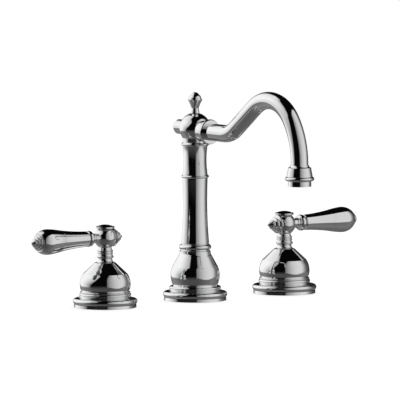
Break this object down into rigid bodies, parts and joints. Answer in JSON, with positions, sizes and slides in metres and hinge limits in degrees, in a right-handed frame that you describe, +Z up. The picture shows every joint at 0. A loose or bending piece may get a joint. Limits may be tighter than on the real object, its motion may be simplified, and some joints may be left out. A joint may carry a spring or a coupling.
{
  "type": "roman tub faucet",
  "caption": "Deck-mounted tub filler with a tall column spout, swan-neck tube and a quarter-turn lever valve on each side, in polished chrome.",
  "frame": {"origin": "middle of the spout's water inlet, on the deck plane", "axes": "+Z up from the deck; +X along the row from the left valve to the right valve; the spout reaches along -Y, over the tub"},
  "size_m": [0.4608, 0.2347, 0.2396],
  "materials": {
    "polished_chrome": "mirror-polished chrome plate",
    "brass": "turned brass",
    "steel": "stainless steel",
    "rubber": "black rubber",
    "ceramic": "lapped alumina",
    "plastic": "moulded light grey plastic"
  },
  "bodies": {
    "faucet": {"spout_gasket": "rubber", "spout_flange": "polished_chrome", "spout_shank": "brass", "shank_oring_lower": "rubber", "shank_oring_upper": "rubber", "spout_bulb": "polished_chrome", "grub_screw": "steel", "spout_lower_ring": "polished_chrome", "spout_column": "polished_chrome", "spout_middle_ring": "polished_chrome", "spout_upper_column": "polished_chrome", "spout_riser": "brass", "spout_hub": "polished_chrome", "spout_rear_cap": "polished_chrome", "spout_collar": "polished_chrome", "spout_knob": "polished_chrome", "knob_stud": "brass", "spout_tube": "polished_chrome", "outlet_skirt": "polished_chrome", "aerator_washer": "rubber", "aerator_insert": "plastic", "left_gasket": "rubber", "left_flange": "polished_chrome", "left_valve_body": "brass", "left_lock_washer": "steel", "left_lock_nut": "brass", "left_seat_seal": "rubber", "left_cartridge_body": "brass", "left_fixed_disc": "ceramic", "left_bell": "polished_chrome", "right_gasket": "rubber", "right_flange": "polished_chrome", "right_valve_body": "brass", "right_lock_washer": "steel", "right_lock_nut": "brass", "right_seat_seal": "rubber", "right_cartridge_body": "brass", "right_fixed_disc": "ceramic", "right_bell": "polished_chrome"},
    "left_handle": {"left_moving_disc": "ceramic", "left_stem": "brass", "left_stem_oring": "rubber", "left_hub": "polished_chrome", "left_handle_screw": "steel", "left_cap": "polished_chrome", "left_hub_finial": "polished_chrome", "left_lever_collar": "polished_chrome", "left_lever": "polished_chrome", "left_lever_finial": "polished_chrome"},
    "right_handle": {"right_moving_disc": "ceramic", "right_stem": "brass", "right_stem_oring": "rubber", "right_hub": "polished_chrome", "right_handle_screw": "steel", "right_cap": "polished_chrome", "right_hub_finial": "polished_chrome", "right_lever_collar": "polished_chrome", "right_lever": "polished_chrome", "right_lever_finial": "polished_chrome"}
  },
  "joints": [
    {"name": "left_lever_turn", "type": "hinge", "parent": "faucet", "child": "left_handle", "pos_m": [-0.127, 0, 0.0766], "axis": [0, 0, 1], "range_deg": [0, 90]},
    {"name": "right_lever_turn", "type": "hinge", "parent": "faucet", "child": "right_handle", "pos_m": [0.127, 0, 0.0766], "axis": [0, 0, 1], "range_deg": [-90, 0]}
  ]
}
